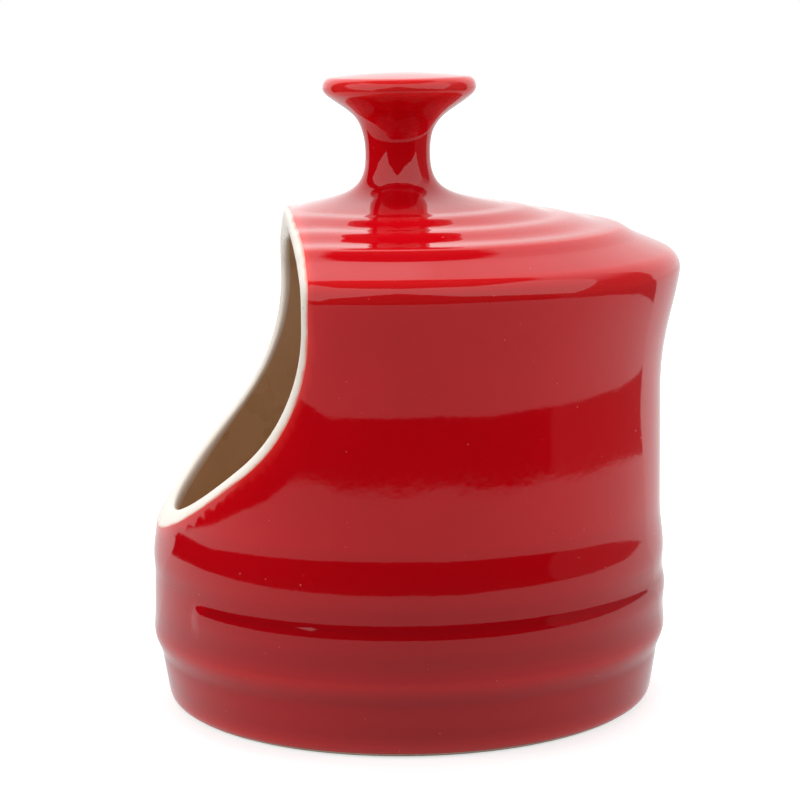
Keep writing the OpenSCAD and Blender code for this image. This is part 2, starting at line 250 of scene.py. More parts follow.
class Profile:
    """A smoothed outline r(s), z(s), by its length in mm, with rows that crowd where it bends."""

    def __init__(self, points, blur, fine, coarse):
        length = np.r_[0, np.cumsum(np.hypot(*np.diff(points, axis=0).T))]
        self.s = np.arange(0, length[-1], SAMPLE)
        p = np.stack([np.interp(self.s, length, points[:, k]) for k in (0, 1)], 1)
        self.p = self.smoothed(p, blur)
        self.p[:, 0] = np.maximum(self.p[:, 0], 0)
        for end in (0, -1):
            if points[end, 0] == 0:
                self.p[end, 0] = 0
        tangent = np.gradient(self.p, SAMPLE, axis=0)
        tangent /= np.linalg.norm(tangent, axis=1)[:, None]
        bend = np.gradient(np.unwrap(np.arctan2(tangent[:, 1], tangent[:, 0])), SAMPLE)
        self.bend = np.convolve(bend, np.ones(7) / 7, "same")
        spacing = np.clip(rad(BEND_PER_ROW) / np.maximum(np.abs(self.bend), 1e-6), fine, coarse)
        count = np.r_[0, np.cumsum(SAMPLE / spacing)[:-1]]
        rows = max(2, int(round(count[-1])))
        self.rows = np.interp(np.linspace(0, count[-1], rows + 1), count, self.s)

    @staticmethod
    def smoothed(p, blur):
        """Points blurred along the outline, whose ends go on straight by reflection."""
        n = int(4 * blur / SAMPLE)
        kernel = np.exp(-0.5 * (np.arange(-n, n + 1) * SAMPLE / blur) ** 2)
        kernel /= kernel.sum()
        wide = np.concatenate([2 * p[0] - p[n:0:-1], p, 2 * p[-1] - p[-2:-n - 2:-1]])
        return np.stack([np.convolve(wide[:, k], kernel, "valid") for k in (0, 1)], 1)

    def at(self, s):
        return np.interp(s, self.s, self.p[:, 0]), np.interp(s, self.s, self.p[:, 1])

    def bend_at(self, s):
        return np.interp(s, self.s, self.bend)

    def radius_lookup(self, z_limit):
        """Radius against height, from the foot up to a limit, and 0 above it."""
        r, z = self.at(self.s)
        rising = np.maximum.accumulate(z) - z < 1e-6
        use = rising & (z < z_limit) & (r > 0.5)
        heights, radii = z[use], r[use]
        return lambda q: np.where(q > heights[-1], 0, np.interp(q, heights, radii))

    def nearest(self, q):
        """Turns and lengths on the turned face, nearest to the points q."""
        rz = np.stack([np.hypot(q[:, 0], q[:, 1]), q[:, 2]], 1)
        near = np.array([np.argmin(((self.p - a) ** 2).sum(1)) for a in rz])
        near = np.clip(near, 2, len(self.s) - 3)
        tangent = self.p[near + 2] - self.p[near - 2]
        tangent /= np.linalg.norm(tangent, axis=1)[:, None]
        return np.arctan2(q[:, 1], q[:, 0]), self.s[near] + ((rz - self.p[near]) * tangent).sum(1)


# The mouth's cut, in the plane y, z: upright from the roof, round in the scoop, then a slope

SLOPE_SIN, SLOPE_COS = math.sin(rad(SCOOP_SLOPE)), math.cos(rad(SCOOP_SLOPE))
scoop_centre = (
    -MOUTH_Y - SCOOP_R,
    MOUTH_Z + SCOOP_R * SLOPE_SIN
    + (WALL_R - MOUTH_Y - SCOOP_R * (1 - SLOPE_COS)) / math.tan(rad(SCOOP_SLOPE)),
)
slope_dir = np.array([-SLOPE_SIN, -SLOPE_COS])
slope_from = np.array(scoop_centre) + SCOOP_R * np.array([SLOPE_COS, -SLOPE_SIN])
SCOOP_RUN = SCOOP_R * rad(SCOOP_SLOPE)
RUN_MIDDLE = (MOUTH_TOP_Z - scoop_centre[1] - SCOOP_RUN - SLOPE_LENGTH) / 2


def beside_cut(y, z):
    """A place from the scoop's centre, its angle there, and whether the round is what it faces."""
    dy, dz = y - scoop_centre[0], z - scoop_centre[1]
    angle = np.arctan2(-dz, dy)
    return dy, dz, angle, (angle < rad(SCOOP_SLOPE)) & (dy > 0)


def mouth_depth(y, z):
    """Distance into the clay from the mouth's edge surface, less than 0 in the opening."""
    dy, dz, _, on_round = beside_cut(y, z)
    slope = (y - slope_from[0]) * SLOPE_COS - (z - slope_from[1]) * SLOPE_SIN
    return np.where(dz > 0, dy - SCOOP_R, np.where(on_round, np.hypot(dy, dz) - SCOOP_R, slope))


def mouth_run(y, z):
    """Place along the cut's side view, in mm upwards from the scoop's upper end."""
    _, dz, angle, on_round = beside_cut(y, z)
    slope = (y - slope_from[0]) * slope_dir[0] + (z - slope_from[1]) * slope_dir[1]
    return np.where(dz > 0, dz, np.where(on_round, -SCOOP_R * angle, -SCOOP_RUN - slope))


def mouth_angle(p):
    """Angle of a place round the mouth, about the cut's middle, from the roof's side."""
    return np.arctan2(p[..., 0], mouth_run(p[..., 1], p[..., 2]) - RUN_MIDDLE)


def cut_point(x, run, depth):
    """The place x across and run along the cut, at a depth into the clay from the mouth's edge."""
    angle = np.clip(-run / SCOOP_R, 0, rad(SCOOP_SLOPE))
    r = SCOOP_R + depth
    y = scoop_centre[0] + r * np.cos(angle)
    z = scoop_centre[1] - r * np.sin(angle) + np.maximum(run, 0)
    past = np.maximum(-run - SCOOP_RUN, 0)
    return np.stack([x, y + past * slope_dir[0], z + past * slope_dir[1]], -1)


def cut_outward(run):
    """The direction out of the clay, square to the cut."""
    angle = np.clip(-run / SCOOP_R, 0, rad(SCOOP_SLOPE))
    return np.stack([np.zeros_like(angle), -np.cos(angle), np.sin(angle)], -1)


# The faces of the pot


def knob_lean(z):
    """How far the thrown knob sits to the front of the pot's axis, by height."""
    return sum(by * smoothstep((z - low) / over) for low, over, by in KNOB_LEANS)


def mid_end(turn):
    """Distance round the wall from the end of the middle rib, more than 0 on the rib."""
    front = np.abs(np.angle(np.exp(1j * (turn + np.pi / 2))))
    return (front - rad(MID_RIB_GAP)) * MID_RIB[0]


def mid_rib(z, out):
    """The middle rib's rise over the band beside it, at a height, when its end is `out` mm behind."""
    half = np.where(z < MID_RIB[1], MID_RIB[1] - LOW_GROOVE[1], TOP_GROOVE[1] - MID_RIB[1])
    reach = np.clip(np.hypot((z - MID_RIB[1]) / half, out / MID_RIB_FADE), 0, 1)
    groove = np.interp(z, [LOW_GROOVE[1], TOP_GROOVE[1]], [LOW_GROOVE[0], TOP_GROOVE[0]])
    return (MID_RIB[0] - groove) * (1 + np.cos(np.pi * reach)) / 2


def outside(profile, turn, s):
    """The outside, with the middle rib and the knob's lean, drawn in towards the mouth's lip."""
    r, z = profile.at(s)
    r = r + mid_rib(z, np.maximum(-mid_end(turn), 0))
    p = np.stack([r * np.cos(turn), r * np.sin(turn) - knob_lean(z), z], -1)
    depth = mouth_depth(p[..., 1], p[..., 2]) - LIP_ROUND
    tuck = TUCK * np.clip(1 - depth / TUCK_WIDE, 0, 1) ** 2
    wall = np.clip((TUCK_TURN_Z - z) / TUCK_TURN_H, 0, 1)
    scale = lerp(1, 1 - tuck / np.maximum(r, 1), wall)
    p[..., 0] *= scale
    p[..., 1] *= scale
    p[..., 2] -= tuck * (1 - wall)
    return p


def inside(profile, turn, s):
    r, z = profile.at(s)
    return np.stack([r * np.cos(turn), r * np.sin(turn), z], -1)


class Face:
    """A turned face of a piece. out is 1 where its normals point from the axis, -1 where to it."""

    def __init__(self, place, out, profile):
        self.place, self.out, self.profile = place, out, profile

    def at(self, turn, s):
        return self.place(self.profile, turn, s)

    def normal(self, turn, s, d_turn=1e-3, d_s=0.05):
        """Unit normals, by small steps."""
        a = self.at(turn + d_turn, s) - self.at(turn - d_turn, s)
        b = self.at(turn, s + d_s) - self.at(turn, s - d_s)
        n = np.cross(a, b) * self.out
        size = np.linalg.norm(n, axis=-1, keepdims=True)
        return np.where(size > 1e-9, n / np.maximum(size, 1e-9), [0, 0, 1])


outer = Face(outside, 1, Profile(outline_points(), blur=0.45, fine=0.45, coarse=2.0))
inner = Face(inside, -1, Profile(cavity_points(), blur=1.2, fine=0.8, coarse=3.0))
clay_outline = np.concatenate([base_points(), moved(outline_points(), -CLAY_IN)])
clay_outer = Face(outside, 1, Profile(clay_outline, blur=0.3, fine=0.5, coarse=1.6))
clay_inner = Face(inside, -1, Profile(moved(cavity_points(), CLAY_IN), blur=1.2, fine=0.8, coarse=3.0))


# Meshes


class Builder:
    """Collects vertices with normals and a glaze value each, and faces."""

    def __init__(self):
        self.v, self.n, self.a, self.f = [], [], [], []

    def add(self, p, n, a=0.0):
        self.v.append(tuple(p))
        self.n.append(tuple(n))
        self.a.append(float(a))
        return len(self.v) - 1

    def make(self, name, nodes):
        """The mesh as a piece that rides on the pot and the CAD nodes it replaces."""
        v = np.array(self.v)
        v[:, 1] += AXIS_Y
        mesh = bpy.data.meshes.new(name)
        mesh.from_pydata((v * MM).tolist(), [], self.f)
        work = bmesh.new()
        work.from_mesh(mesh)
        bmesh.ops.recalc_face_normals(work, faces=work.faces)
        work.to_mesh(mesh)
        work.free()
        mesh.polygons.foreach_set("use_smooth", [True] * len(mesh.polygons))
        attribute = mesh.attributes.new("thin", "FLOAT", "POINT")
        attribute.data.foreach_set("value", self.a)
        mesh.update()
        mesh.normals_split_custom_set_from_vertices(self.n)
        piece = bpy.data.objects.new(name, mesh)
        bpy.context.scene.collection.objects.link(piece)
        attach(piece, "root")
        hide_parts(*nodes)
        return piece


class Clipping:
    """A turned face as vertices and polygons in a builder, open where the mouth is.

    poles says whether the first and the last row close to a point. thin gives the glaze value.
    """

    def __init__(self, b, face, rows, poles, thin, edge):
        self.b, self.face, self.edge = b, face, edge
        turns = np.linspace(0, 2 * np.pi, TURNS, endpoint=False)
        self.turn, self.s = np.meshgrid(turns, rows, indexing="ij")
        p = face.at(self.turn, self.s)
        n = face.normal(self.turn, self.s)
        self.depth = mouth_depth(p[..., 1], p[..., 2]) - edge.set_back(p) - EDGE_BAND
        self.thin = thin(self.turn, self.s, p)
        self.ids = -np.ones(p.shape[:2], int)
        self.crossings = {}
        last = len(rows) - 1
        for j in range(len(rows)):
            pole = (j == 0 and poles[0]) or (j == last and poles[1])
            for i in range(TURNS):
                if pole and i > 0:
                    self.ids[i, j] = self.ids[0, j]
                elif self.depth[i, j] > 0:
                    self.ids[i, j] = b.add(p[i, j], n[i, j], self.thin[i, j])
        for i in range(TURNS):
            k = (i + 1) % TURNS
            for j in range(last):
                self.add_polygon([(i, j), (k, j), (k, j + 1), (i, j + 1)])

    def add_polygon(self, corners):
        keep = [self.depth[c] > 0 for c in corners]
        ring = []
        for c, d, kept, next_kept in zip(corners, corners[1:] + corners[:1], keep, keep[1:] + keep[:1]):
            if kept:
                ring.append(self.ids[c])
            if kept != next_kept:
                ring.append(self.crossing(c, d))
        ring = [v for q, v in enumerate(ring) if v != ring[q - 1]]
        if len(ring) > 2:
            self.b.f.append(ring if self.face.out > 0 else ring[::-1])

    def crossing(self, c, d):
        """The vertex where the mouth's edge crosses between two corners, found by bisection."""
        key = tuple(sorted([c, d]))
        if key not in self.crossings:
            c_turn, c_s, d_turn, d_s = self.turn[c], self.s[c], self.turn[d], self.s[d]
            if abs(d_turn - c_turn) > np.pi:
                d_turn += 2 * np.pi * np.sign(c_turn - d_turn)

            def place(t):
                return np.array(lerp(c_turn, d_turn, t)), np.array(lerp(c_s, d_s, t))

            kept, gone = (0.0, 1.0) if self.depth[c] > 0 else (1.0, 0.0)
            for _ in range(24):
                middle = (kept + gone) / 2
                q = self.face.at(*place(middle))
                if mouth_depth(q[1], q[2]) > self.edge.set_back(q) + EDGE_BAND:
                    kept = middle
                else:
                    gone = middle
            self.crossings[key] = self.b.add(self.face.at(*place(kept)), self.face.normal(*place(kept)),
                                             lerp(self.thin[c], self.thin[d], kept))
        return self.crossings[key]

    def mouth_loop(self):
        return sorted(set(self.crossings.values()), key=lambda v: mouth_angle(np.array(self.b.v[v])))

    def first_row(self):
        return [int(v) for v in self.ids[:, 0]]


def zip_loops(b, a, c, flip):
    """Joins two loops of vertices round the mouth, each sorted by its angle, with triangles."""

    def angles_of(loop):
        around = [float(mouth_angle(np.array(b.v[v]))) for v in loop]
        return around + [around[0] + 2 * math.pi, math.inf]

    a_at, c_at = angles_of(a), angles_of(c)
    i = j = 0
    while i < len(a) or j < len(c):
        p, q = a[i % len(a)], c[j % len(c)]
        if (a_at[i + 1] <= c_at[j + 1] and i < len(a)) or j >= len(c):
            i += 1
            tri = [p, a[i % len(a)], q]
        else:
            j += 1
            tri = [p, c[j % len(c)], q]
        if len(set(tri)) == 3:
            b.f.append(tri[::-1] if flip else tri)


def close_shell(b, loops):
    """Doubles all faces, moved in by the coat's thickness, and joins each loop to its double."""
    count = len(b.v)
    for k in range(count):
        p, n = np.array(b.v[k]), np.array(b.n[k])
        b.add(p - COAT * n, -n, b.a[k])
    for f in list(b.f):
        b.f.append([v + count for v in f[::-1]])
    for loop, flip in loops:
        for v, w in zip(loop, loop[1:] + loop[:1]):
            if v != w:
                quad = [v, w, w + count, v + count]
                b.f.append(quad[::-1] if flip else quad)


ROUND_MOUTH = np.linspace(-np.pi, np.pi, STATIONS, endpoint=False)
EDGE_ROUNDS, EDGE_EASE = 5, 7  # passes over the set-back, and stations on each side it is eased over
FLATTEST = 0.3  # the least share of a direction to the lip that points out of the clay


class MouthEdge:
    """The lip's edge on a face: points, normals, directions to the lip, and set-backs by angle.

    The rounding reaches further down a face that meets the cut at a sharper corner, and the trim
    is a given change of that reach, in mm, on both sides of the scoop.
    """

    def __init__(self, face, z_limit, trim, trim_at, trim_wide):
        radius_at = face.profile.radius_lookup(z_limit)
        hand = trim * bell(np.abs(np.degrees(ROUND_MOUTH)) - trim_at, trim_wide)
        depth = np.full(STATIONS, LIP_ROUND)
        for _ in range(EDGE_ROUNDS):
            turn, s, away = self.trace(face, radius_at, depth)
            depth = LIP_ROUND * (1 - (face.normal(turn, s) * away).sum(1)) + hand
            depth = sum(np.roll(depth, k) for k in range(-EDGE_EASE, EDGE_EASE + 1)) / (2 * EDGE_EASE + 1)
        turn, s, away = self.trace(face, radius_at, depth)
        self.p, self.n, self.depth = face.at(turn, s), face.normal(turn, s), depth
        along = np.roll(self.p, -1, 0) - np.roll(self.p, 1, 0)
        into = np.cross(self.n, along)
        into /= np.linalg.norm(into, axis=1)[:, None]
        into *= np.sign((into * away).sum(1))[:, None]
        self.reach = into * (depth / np.maximum((into * away).sum(1), FLATTEST))[:, None]

    @staticmethod
    def trace(face, radius_at, depth, furthest=120.0):
        """Where a face meets the cut set back by a depth, by bisection at each angle of the mouth."""
        dx, d_run = np.sin(ROUND_MOUTH), np.cos(ROUND_MOUTH)
        near, far = np.zeros(STATIONS), np.full(STATIONS, furthest)
        for _ in range(40):
            middle = (near + far) / 2
            q = cut_point(middle * dx, RUN_MIDDLE + middle * d_run, depth)
            within = np.hypot(q[:, 0], q[:, 1]) < radius_at(q[:, 2])
            near, far = np.where(within, middle, near), np.where(within, far, middle)
        x, run = near * dx, RUN_MIDDLE + near * d_run
        turn, s = face.profile.nearest(cut_point(x, run, depth))
        return turn, s, cut_outward(run)

    def set_back(self, p):
        """How far behind the cut the edge lies, at a place beside it."""
        return np.interp(mouth_angle(p), ROUND_MOUTH, self.depth, period=2 * np.pi)


outer_edge = MouthEdge(outer, z_limit=113.0, trim=0.35, trim_at=90, trim_wide=16)
inner_edge = MouthEdge(inner, z_limit=120.0, trim=-1.0, trim_at=100, trim_wide=26)


# Pieces


def thin_and_shaded_glaze(turn, s, p):
    """1 where the glaze runs thin, on edges, at the foot and the mouth's rim; towards -1 where painted shade
    darkens it: in hollows, where the glaze also pools, and beside the middle rib.
    """
    z, bend = p[..., 2], outer.profile.bend_at(s)
    on_edges = THIN_EDGE * np.clip(bend * THIN_BEND, 0, 1)
    at_foot = np.clip((THIN_FOOT_Z - z) / THIN_FOOT_H, 0, 1)
    behind_lip = mouth_depth(p[..., 1], z) - outer_edge.set_back(p)
    at_rim = np.clip(1 - behind_lip / THIN_RIM_W, 0, 1)
    thin = np.maximum(np.maximum(on_edges, at_foot), at_rim)
    # Painted shade: darker in low hollows, where the glaze also pools, in the groove under the middle rib and
    # over its upper flank.
    low = np.clip((POOL_AND_SHADE_TOP_Z - z) / POOL_AND_SHADE_FADE_H, 0, 1)
    on_rib = np.clip(mid_end(turn) / SHADE_END_W, 0, 1)
    in_hollows = np.clip(-POOL_AND_SHADE_BEND * bend, 0, POOL_AND_SHADE_HOLLOW) * low
    shade_under_rib = SHADE_UNDER_RIB * bell(z - LOW_GROOVE[1], SHADE_UNDER_H)
    shade_over_rib = SHADE_OVER_RIB * bell(z - MID_RIB[1] - SHADE_OVER_UP, SHADE_OVER_H) * on_rib
    pooled_and_shaded = np.maximum(in_hollows, np.maximum(shade_under_rib, shade_over_rib))
    return thin - pooled_and_shaded * np.clip(1 - thin * 4, 0, 1)


def even_glaze(turn, s, p):
    return np.zeros_like(turn)


def make_shell(name, face, rows, poles, thin, edge, nodes):
    """A coat on a face, open at the mouth, and at its foot when that is no pole."""
    b = Builder()
    clipping = Clipping(b, face, rows, poles, thin, edge)
    lip_loop = [b.add(p, n, 1.0) for p, n in zip(edge.p, edge.n)]
    zip_loops(b, lip_loop, clipping.mouth_loop(), face.out > 0)
    loops = [(lip_loop, face.out > 0)]
    if not poles[0]:
        loops.append((clipping.first_row(), False))
    close_shell(b, loops)
    return b.make(name, nodes)


def make_clay():
    """The clay between the coat and the lining, with the foot ring that it stands on."""
    b = Builder()
    loops = [Clipping(b, face, face.profile.rows, (True, True), even_glaze, edge).mouth_loop()
             for face, edge in ((clay_outer, outer_edge), (clay_inner, inner_edge))]
    zip_loops(b, *loops, False)
    return b.make("clay_body", ["body", "knob", "joint_slip"])


def make_rim():
    """The rounded lip: a curve from face to face, level with each where it leaves it.

    Handles of 4/3 of the reach make it a half round where the faces are parallel.
    """
    b = Builder()
    c = [outer_edge.p, outer_edge.p + 4 / 3 * outer_edge.reach,
         inner_edge.p + 4 / 3 * inner_edge.reach, inner_edge.p]
    rows = []
    for k in range(RIM_STEPS + 1):
        t = k / RIM_STEPS
        u = 1 - t
        p = u**3 * c[0] + 3 * u * u * t * c[1] + 3 * u * t * t * c[2] + t**3 * c[3]
        d = 3 * u * u * (c[1] - c[0]) + 6 * u * t * (c[2] - c[1]) + 3 * t * t * (c[3] - c[2])
        n = np.cross(np.roll(p, -1, 0) - np.roll(p, 1, 0), d)
        n /= -np.linalg.norm(n, axis=1)[:, None]
        n = {0: outer_edge.n, RIM_STEPS: inner_edge.n}.get(k, n)
        rows.append([b.add(p[i], n[i], max(0, 1 - t / RED_ON_RIM)) for i in range(STATIONS)])
    rows.append(rows[0])
    for lower, upper in zip(rows, rows[1:]):
        for i in range(STATIONS):
            k = (i + 1) % STATIONS
            b.f.append([lower[i], upper[i], upper[k], lower[k]])
    return b.make("mouth_rim", ["lip"])


glaze_from = outer.profile.s[np.argmax(outer.profile.p[:, 1] > GLAZE_Z)]
glaze_rows = np.r_[glaze_from, outer.profile.rows[outer.profile.rows > glaze_from + SAMPLE]]
coat = make_shell("glaze_coat", outer, glaze_rows, (False, True), thin_and_shaded_glaze, outer_edge,
                  ["outer_glaze"])
lining = make_shell("cavity_lining", inner, inner.profile.rows, (True, True), even_glaze, inner_edge,
                    ["inner_glaze"])
clay_body = make_clay()
rim = make_rim()


# Materials


class Tree:
    """The nodes of a material or of the world, with short ways to add and join them."""

    def __init__(self, owner):
        owner.use_nodes = True
        self.nodes, self.links = owner.node_tree.nodes, owner.node_tree.links

    def add(self, kind, **values):
        """A new node, with values by the names of its inputs or of its own settings."""
        n = self.nodes.new(kind)
        for key, value in values.items():
            if key in n.inputs:
                n.inputs[key].default_value = value
            else:
                setattr(n, key, value)
        return n

    def feed(self, socket, value):
        """Sets an input to a number or a colour, or joins an output to it."""
        if isinstance(value, tuple):
            socket.default_value = (*value, 1)
        elif isinstance(value, (int, float)):
            socket.default_value = value
        else:
            self.links.new(value, socket)

    def ramp(self, value, low, high, out_low=0.0, out_high=1.0):
        n = self.add("ShaderNodeMapRange")
        for key, number in (("From Min", low), ("From Max", high), ("To Min", out_low), ("To Max", out_high)):
            n.inputs[key].default_value = number
        self.feed(n.inputs["Value"], value)
        return n.outputs["Result"]

    def mix(self, share, a, b):
        """A colour between a and b. A Mix node's colours are its inputs 6 and 7 and its output 2."""
        n = self.add("ShaderNodeMix", data_type="RGBA")
        for socket, value in zip((n.inputs[0], n.inputs[6], n.inputs[7]), (share, a, b)):
            self.feed(socket, value)
        return n.outputs[2]

    def math(self, operation, *values):
        n = self.add("ShaderNodeMath", operation=operation)
        for socket, value in zip(n.inputs, values):
            self.feed(socket, value)
        return n.outputs[0]

    def times(self, *values):
        out = values[0]
        for value in values[1:]:
            out = self.math("MULTIPLY", out, value)
        return out

    def dot(self, a, axis):
        n = self.add("ShaderNodeVectorMath", operation="DOT_PRODUCT")
        self.feed(n.inputs[0], a)
        n.inputs[1].default_value = axis
        return n.outputs["Value"]

    def pick(self, share, a, b):
        """A shader between a and b."""
        n = self.add("ShaderNodeMixShader")
        for socket, value in zip(n.inputs, (share, a, b)):
            self.feed(socket, value)
        return n.outputs[0]


class Surface(Tree):
    """A material of the pot, whose patterns lie fast on the object."""

    def __init__(self, name):
        self.material = bpy.data.materials.new(name)
        super().__init__(self.material)
        self.where = self.add("ShaderNodeTexCoord").outputs["Object"]

    def noise(self, scale, detail, rough=0.5):
        n = self.add("ShaderNodeTexNoise", Scale=scale, Detail=detail, Roughness=rough)
        self.feed(n.inputs["Vector"], self.where)
        return n.outputs["Fac"]

    def thin(self):
        return self.add("ShaderNodeAttribute", attribute_name="thin").outputs["Fac"]

    def dress(self, colour, roughness, layers, ior=None):
        """Joins colour, roughness and bumps, each a map and its height in metres, to the shader."""
        shader = self.nodes["Principled BSDF"]
        self.feed(shader.inputs["Base Color"], colour)
        self.feed(shader.inputs["Roughness"], roughness)
        if ior:
            shader.inputs["IOR"].default_value = ior
        normal = None
        for height_map, height in layers:
            bump = self.add("ShaderNodeBump", Strength=1.0, Distance=height)
            self.feed(bump.inputs["Height"], height_map)
            if normal:
                self.feed(bump.inputs["Normal"], normal)
            normal = bump.outputs["Normal"]
        self.feed(shader.inputs["Normal"], normal)
        return self.material


GLAZE_IOR = 1.5
RED, RED_CLOUD = (0.52, 0.0012, 0.005), (0.56, 0.0016, 0.006)
# Painted shade: the pooled colour darkens hollows, where the glaze also pools, and the middle rib's flanks.
RED_POOLED_AND_SHADED, RED_LOW, RED_THIN = (0.32, 0.0010, 0.004), (0.32, 0.0020, 0.005), (0.80, 0.030, 0.028)
# Painted shade: the low colour darkens the ribbed band, on the lower part of the pot.
RED_LOW_Z, RED_HIGH_Z, RED_LOW_SHARE = 0.034, 0.046, 0.5  # the ribbed band is darker, up to here
PINHOLE, PINHOLE_SHARE = (0.95, 0.22, 0.20), 0.35
SAND, SAND_CLOUD = (0.65, 0.44, 0.26), (0.73, 0.51, 0.32)
CREAM, CREAM_CLOUD, CREAM_EDGE = (0.77, 0.69, 0.60), (0.83, 0.76, 0.68), (0.78, 0.20, 0.14)
CLAY, CLAY_CLOUD, CLAY_GRIT = (0.72, 0.60, 0.46), (0.82, 0.72, 0.58), (0.45, 0.34, 0.24)


def red_glaze():
    """Deep red: lighter where thin; darker with painted shade in hollows, where the glaze also pools, beside
    the middle rib and on the ribbed band; with rare pinholes.
    """
    t = Surface("red_glaze_fired")
    thin = t.thin()
    colour = t.mix(t.ramp(t.noise(45, 3), 0.3, 0.7), RED, RED_CLOUD)
    # Painted shade in hollows, where the glaze also pools, and beside the middle rib.
    colour = t.mix(t.ramp(thin, -1.0, 0.0, 1.0, 0.0), colour, RED_POOLED_AND_SHADED)
    # Painted shade: darker over the ribbed band, low on the pot.
    split = t.add("ShaderNodeSeparateXYZ")
    t.feed(split.inputs[0], t.where)
    low = t.ramp(split.outputs["Z"], RED_LOW_Z, RED_HIGH_Z, RED_LOW_SHARE, 0.0)
    colour = t.mix(low, colour, RED_LOW)
    colour = t.mix(t.ramp(thin, 0.0, 1.0, 0.0, 0.85), colour, RED_THIN)
    cells = t.add("ShaderNodeTexVoronoi", Scale=900.0)
    t.feed(cells.inputs["Vector"], t.where)
    chance = t.add("ShaderNodeSeparateColor")
    t.feed(chance.inputs[0], cells.outputs["Color"])
    rare = t.ramp(chance.outputs[0], 0.975, 0.98)
    pinhole = t.times(rare, t.ramp(cells.outputs["Distance"], 0.08, 0.2, 1.0, 0.0))
    colour = t.mix(t.times(pinhole, PINHOLE_SHARE), colour, PINHOLE)
    return t.dress(colour, t.ramp(t.noise(900, 2), 0.3, 0.7, 0.035, 0.075), [
        (t.noise(60, 1), 0.00012),
        (t.noise(420, 2), 0.000008),
        (pinhole, 0.00003),
    ], GLAZE_IOR)


def pale_glaze(name, low, high, edge_colour=None):
    """A satin glaze, with a ragged edge of another colour where it is thin, if one is given."""
    t = Surface(name)
    cloud = t.noise(70, 4)
    colour = t.mix(t.ramp(cloud, 0.3, 0.7), low, high)
    if edge_colour:
        ragged = t.math("MULTIPLY_ADD", t.noise(250, 2), 0.5, t.thin())
        colour = t.mix(t.ramp(ragged, 0.85, 1.25), colour, edge_colour)
    return t.dress(colour, t.ramp(cloud, 0.2, 0.8, 0.24, 0.34), [(t.noise(120, 2), 0.00002)], GLAZE_IOR)


def bare_clay():
    """Unglazed stoneware with darker grit."""
    t = Surface("bare_stoneware")
    grit = t.noise(1600, 4, 0.7)
    colour = t.mix(t.ramp(t.noise(90, 4), 0.3, 0.7), CLAY, CLAY_CLOUD)
    colour = t.mix(t.ramp(grit, 0.6, 0.75, 0.0, 0.5), colour, CLAY_GRIT)
    return t.dress(colour, t.ramp(grit, 0.3, 0.7, 0.65, 0.85), [(grit, 0.00006)])


def wear(piece, m):
    piece.data.materials.clear()
    piece.data.materials.append(m)


wear(coat, red_glaze())
wear(lining, pale_glaze("sand_lining", SAND, SAND_CLOUD))
wear(rim, pale_glaze("cream_rim", CREAM, CREAM_CLOUD, CREAM_EDGE))
wear(clay_body, bare_clay())
base_red = red_glaze()
for base_slot in frame["nodes"]["base_glaze"].material_slots:
    base_slot.material = base_red


# Camera, as the photograph was taken. It was fitted in a frame of its own, where it looks along +Y

SHOT_AZIMUTH = -5.0
EYE = (557.9, -50.4, 162.3)
YAW, PITCH, ROLL = 0.15, 9.65, -0.77
FOCAL_PX, IMAGE_PX, SENSOR = 2510.0, 800.0, 36.0


def to_part(p):
    """A direction from the fitted frame into the part's frame."""
    c, s = math.cos(rad(SHOT_AZIMUTH)), -math.sin(rad(SHOT_AZIMUTH))
    return Vector((-p[1] * c + p[0] * s, p[1] * s + p[0] * c, p[2]))


def make_camera():
    y, p, r = rad(YAW), rad(PITCH), rad(ROLL)
    ahead = Vector((-math.sin(y) * math.cos(p), math.cos(y) * math.cos(p), -math.sin(p)))
    right = Vector((math.cos(y), math.sin(y), 0))
    up = right.cross(ahead)
    across = math.cos(r) * right + math.sin(r) * up
    above = -math.sin(r) * right + math.cos(r) * up
    axes = Matrix([to_part(across), to_part(above), -to_part(ahead)])
    data = bpy.data.cameras.new("camera")
    data.sensor_fit = "HORIZONTAL"
    data.sensor_width = SENSOR
    data.lens = FOCAL_PX / IMAGE_PX * SENSOR
    data.clip_start = 0.01
    camera = bpy.data.objects.new("camera", data)
    camera.matrix_world = Matrix.Translation(Vector(EYE) * MM) @ axes.transposed().to_4x4()
    bpy.context.scene.collection.objects.link(camera)
    bpy.context.scene.camera = camera


make_camera()


# Plain white studio, in metres. The gloss sees a light tent: cards in front, white walls behind, a
# dark ceiling and a table with an edge

FLOOR_HALF, FLOOR_ALBEDO = 3.0, 0.56
HAZE_FROM, HAZE_TO, HAZE_LOW = 0.12, 0.4, 0.64
TABLE_R, TABLE_SOFT = 0.335, 0.004
FLOOR_FRONT, FLOOR_SIDES, FLOOR_BEHIND, FLOOR_RIGHT = 0.54, 0.8, 0.9, 0.13
SIDES_COS, BEHIND_COS, BEHIND_SOFT = 0.1, -0.54, 0.005  # of the bearings where those levels begin
CEILING = 60
WALLS_FROM, WALL_GLOSS, WALL_GLOW = 123, 1.03, 1.25
GLOW_RIGHT_FROM, GLOW_RIGHT_TO, GLOW_LEFT_TO = 174, 178.5, 150
SIDE_FROM, SIDE_BOTTOM, SIDE_DIM_TO, SIDE_FULL_FROM = 62, -30, 25, 45
SIDE_DIM, SIDE_FULL = 0.135, 0.9
ROOM_GLOSS, ROOM_LIGHT = 0.01, 0.3
CARD_FAR, CARD_GLOW = 430.0, 1.4
LAMP_FAR, LAMP_AIM_Z = 0.9, 0.07


def direction(azimuth, elevation):
    """azimuth is in degrees from the camera's side of the pot, turning towards +Y."""
    a, e = rad(azimuth + SHOT_AZIMUTH), rad(elevation)
    return Vector((math.cos(a) * math.cos(e), math.sin(a) * math.cos(e), math.sin(e)))


AHEAD, ACROSS = direction(0, 0), direction(90, 0)


